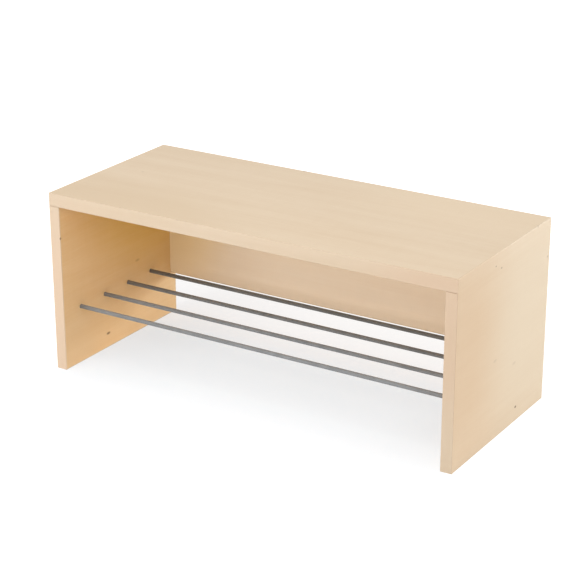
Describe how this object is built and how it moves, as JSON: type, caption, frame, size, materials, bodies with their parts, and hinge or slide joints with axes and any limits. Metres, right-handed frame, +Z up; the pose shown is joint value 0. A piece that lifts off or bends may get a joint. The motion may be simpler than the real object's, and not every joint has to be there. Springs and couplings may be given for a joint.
{
  "type": "bench",
  "caption": "Low cloakroom bench for children: a board seat on full-depth side panels, a back panel up under the seat and an open rack of round steel rods for shoes.",
  "frame": {"origin": "on the floor, at the centre of the footprint", "axes": "+X along the bench, to the right as seen from the front; +Y from the front to the back; +Z up"},
  "size_m": [0.84, 0.36, 0.35],
  "materials": {
    "birch_board": "pale birch decor, satin lacquer",
    "birch_edge_band": "birch decor edge band, satin",
    "satin_steel": "satin",
    "beech_dowel": "raw"
  },
  "bodies": {
    "root": {"seat_panel": "birch_board", "left_side_panel": "birch_board", "right_side_panel": "birch_board", "back_panel": "birch_board", "seat_front_edge_band": "birch_edge_band", "seat_back_edge_band": "birch_edge_band", "seat_left_edge_band": "birch_edge_band", "seat_right_edge_band": "birch_edge_band", "left_side_front_edge_band": "birch_edge_band", "left_side_back_edge_band": "birch_edge_band", "left_side_bottom_edge_band": "birch_edge_band", "right_side_front_edge_band": "birch_edge_band", "right_side_back_edge_band": "birch_edge_band", "right_side_bottom_edge_band": "birch_edge_band", "back_panel_bottom_edge_band": "birch_edge_band", "shoe_rod_1": "satin_steel", "shoe_rod_2": "satin_steel", "shoe_rod_3": "satin_steel", "shoe_rod_4": "satin_steel", "seat_to_left_side_dowel_1": "beech_dowel", "seat_to_left_side_dowel_2": "beech_dowel", "seat_to_left_side_dowel_3": "beech_dowel", "seat_to_right_side_dowel_1": "beech_dowel", "seat_to_right_side_dowel_2": "beech_dowel", "seat_to_right_side_dowel_3": "beech_dowel", "seat_to_back_dowel_1": "beech_dowel", "seat_to_back_dowel_2": "beech_dowel", "seat_to_back_dowel_3": "beech_dowel", "seat_to_back_dowel_4": "beech_dowel", "seat_to_back_dowel_5": "beech_dowel", "back_to_left_side_dowel_1": "beech_dowel", "back_to_left_side_dowel_2": "beech_dowel", "back_to_left_side_dowel_3": "beech_dowel", "back_to_right_side_dowel_1": "beech_dowel", "back_to_right_side_dowel_2": "beech_dowel", "back_to_right_side_dowel_3": "beech_dowel"}
  },
  "joints": []
}
